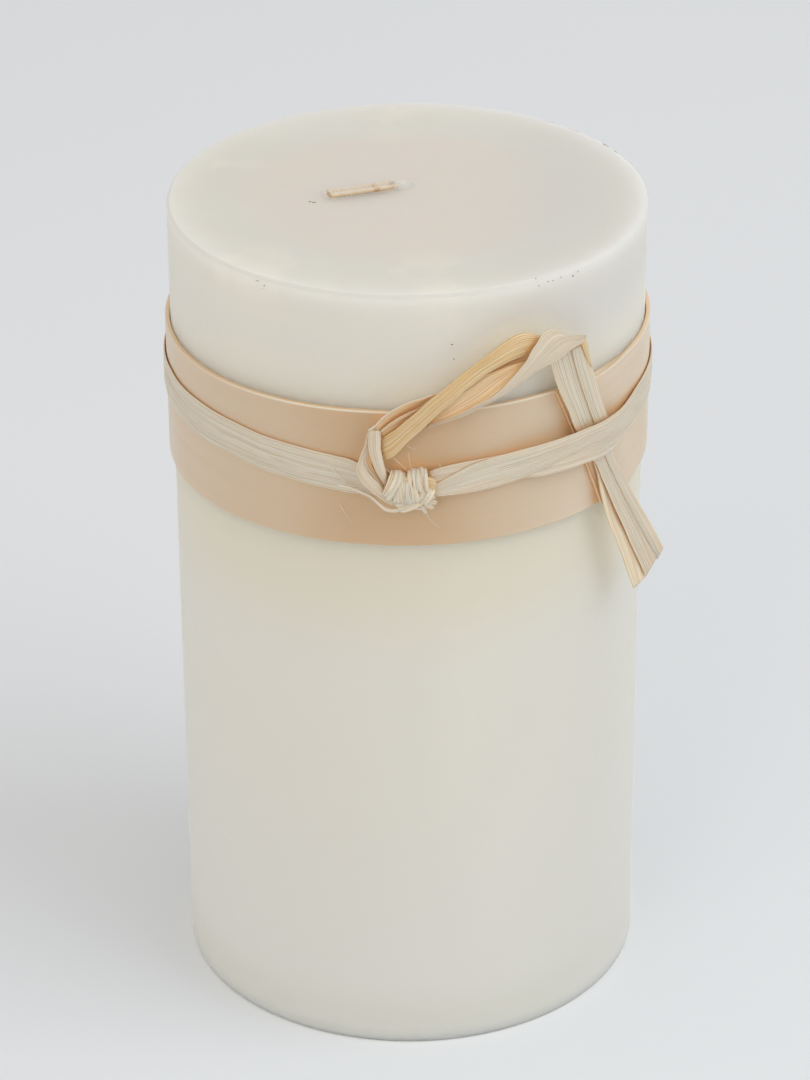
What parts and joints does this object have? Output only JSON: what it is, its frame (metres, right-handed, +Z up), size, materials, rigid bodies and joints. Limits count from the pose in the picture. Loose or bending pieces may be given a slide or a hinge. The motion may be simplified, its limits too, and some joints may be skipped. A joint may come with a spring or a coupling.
{
  "type": "unity candle",
  "caption": "Straight wax pillar candle with a flat wick folded over on its top, and a lapped veneer band tied round with knotted raffia.",
  "frame": {"origin": "centre of the flat foot that the candle stands on", "axes": "+Z up along the candle, -Y towards the knot at the front, +X to the right of the knot"},
  "size_m": [0.0875, 0.0898, 0.1488],
  "materials": {
    "wax": "translucent frosted wax",
    "wick": "waxed cotton braid",
    "clip_steel": "tinned",
    "veneer": "smooth matte",
    "glue": "dried adhesive",
    "raffia": "natural palm fibre"
  },
  "bodies": {
    "candle": {"wax_pillar": "wax", "wick_core": "wick", "wick_clip": "clip_steel"},
    "wick": {"wick_tip": "wick"},
    "band": {"veneer_band": "veneer", "lap_glue": "glue"},
    "tie": {"strap_outer_ply": "raffia", "strap_inner_ply": "raffia", "knot_left_turn": "raffia", "knot_right_turn": "raffia", "knot_lower_turn": "raffia", "knot_frayed_end": "raffia", "loop_leaf": "raffia", "upper_strand": "raffia", "lower_strand": "raffia"}
  },
  "joints": [
    {"name": "wick_stand", "type": "hinge", "parent": "candle", "child": "wick", "pos_m": [-0.00134, 0.00332, 0.148], "axis": [-0.3173, 0.9483, 0], "range_deg": [0, 90]},
    {"name": "band_lift", "type": "slide", "parent": "candle", "child": "band", "axis": [0, 0, 1], "range_m": [-0.075, 0.075]},
    {"name": "tie_lift", "type": "slide", "parent": "band", "child": "tie", "axis": [0, 0, 1], "range_m": [0, 0.07]}
  ]
}
